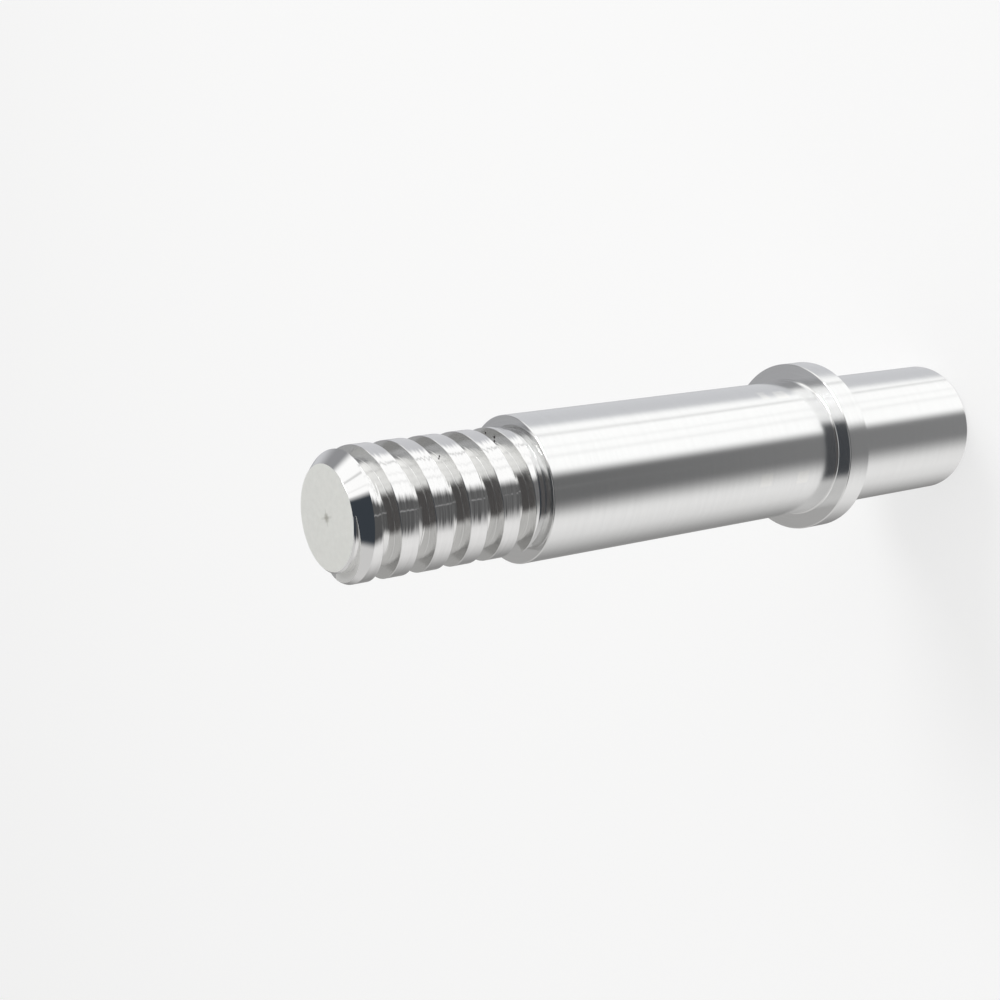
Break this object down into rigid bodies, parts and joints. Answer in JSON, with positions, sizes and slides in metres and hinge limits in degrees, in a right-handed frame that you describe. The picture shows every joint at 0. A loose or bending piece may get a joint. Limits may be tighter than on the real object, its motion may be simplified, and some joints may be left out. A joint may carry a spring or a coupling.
{
  "type": "threaded socket shaft",
  "caption": "Turned shaft with a coarse square thread on one end, a locating collar and a thin-walled tube end with a blind socket.",
  "frame": {"origin": "centre of the tube end's rim, on the plane the shaft stands on", "axes": "+Z along the shaft's axis, from the tube end to the threaded end"},
  "size_m": [0.0318, 0.0318, 0.1376],
  "materials": {
    "turned_aluminium": "bright turned"
  },
  "bodies": {
    "root": {"threaded_shaft": "turned_aluminium"}
  },
  "joints": []
}
